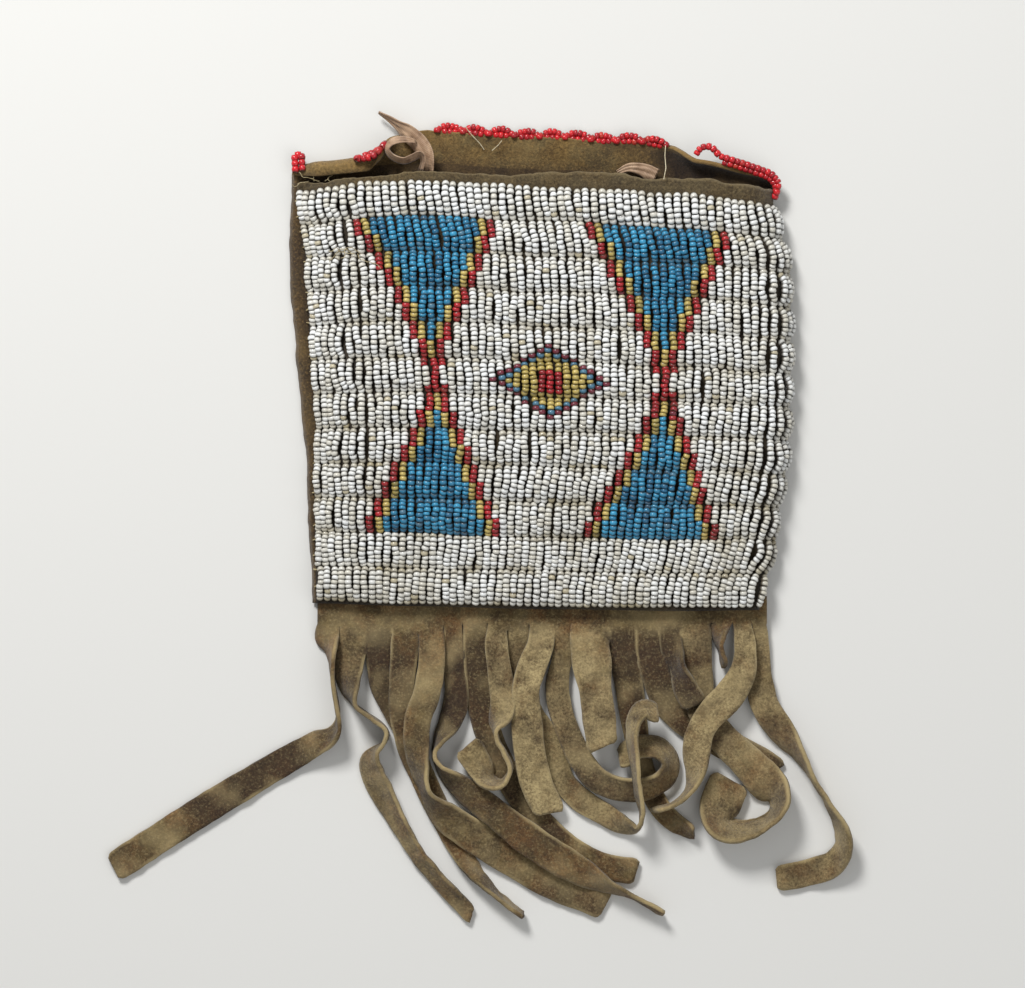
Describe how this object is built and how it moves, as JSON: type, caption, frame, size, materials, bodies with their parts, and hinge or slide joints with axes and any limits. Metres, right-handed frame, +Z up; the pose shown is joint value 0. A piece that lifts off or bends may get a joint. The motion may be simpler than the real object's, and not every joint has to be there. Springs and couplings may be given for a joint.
{
  "type": "beaded tobacco pouch",
  "caption": "Flat hide pouch, open at the top, its front covered in lanes of seed beads with two hourglasses and a diamond, with a cut fringe below.",
  "frame": {"origin": "on the flat underside of the back panel, under the centre of the front's diamond", "axes": "+Y along the pouch from the fringe to the mouth, +X across it to the right as seen from the beaded side, +Z up out of the beaded front"},
  "size_m": [0.1679, 0.1832, 0.0102],
  "materials": {
    "front_hide": "matte, grimy smoked hide",
    "back_hide": "matte smoked hide",
    "fringe_hide": "matte smoked hide, stained",
    "white_beads": "opaque glossy glass",
    "blue_beads": "opaque glossy glass",
    "yellow_beads": "opaque glossy glass",
    "red_beads": "opaque glossy glass",
    "edge_red_beads": "glossy glass",
    "silk": "faded silk"
  },
  "bodies": {
    "root": {"back_panel": "back_hide", "diamond_blue": "blue_beads", "diamond_core": "red_beads", "diamond_red": "red_beads", "diamond_yellow": "yellow_beads", "edge_beads_corner": "edge_red_beads", "edge_beads_left": "edge_red_beads", "edge_beads_middle": "edge_red_beads", "edge_beads_right": "edge_red_beads", "fringe": "fringe_hide", "front_panel": "front_hide", "hourglass_left_lower_blue": "blue_beads", "hourglass_left_lower_yellow": "yellow_beads", "hourglass_left_red": "red_beads", "hourglass_left_upper_blue": "blue_beads", "hourglass_left_upper_yellow": "yellow_beads", "hourglass_right_lower_blue": "blue_beads", "hourglass_right_lower_yellow": "yellow_beads", "hourglass_right_red": "red_beads", "hourglass_right_upper_blue": "blue_beads", "hourglass_right_upper_yellow": "yellow_beads", "lane_01_white": "white_beads", "lane_02_white_left": "white_beads", "lane_02_white_middle": "white_beads", "lane_02_white_right": "white_beads", "lane_03_white_left": "white_beads", "lane_03_white_middle": "white_beads", "lane_03_white_right": "white_beads", "lane_04_white_left": "white_beads", "lane_04_white_middle": "white_beads", "lane_04_white_right": "white_beads", "lane_05_white_left": "white_beads", "lane_05_white_middle": "white_beads", "lane_05_white_right": "white_beads", "lane_06_white_left": "white_beads", "lane_06_white_middle_left": "white_beads", "lane_06_white_middle_right": "white_beads", "lane_06_white_right": "white_beads", "lane_07_white_left": "white_beads", "lane_07_white_middle": "white_beads", "lane_07_white_right": "white_beads", "lane_08_white_left": "white_beads", "lane_08_white_middle": "white_beads", "lane_08_white_right": "white_beads", "lane_09_white_left": "white_beads", "lane_09_white_middle": "white_beads", "lane_09_white_right": "white_beads", "lane_10_white_left": "white_beads", "lane_10_white_middle": "white_beads", "lane_10_white_right": "white_beads", "lane_11_white": "white_beads", "lane_12_white": "white_beads", "ribbon_tie": "silk"}
  },
  "joints": []
}
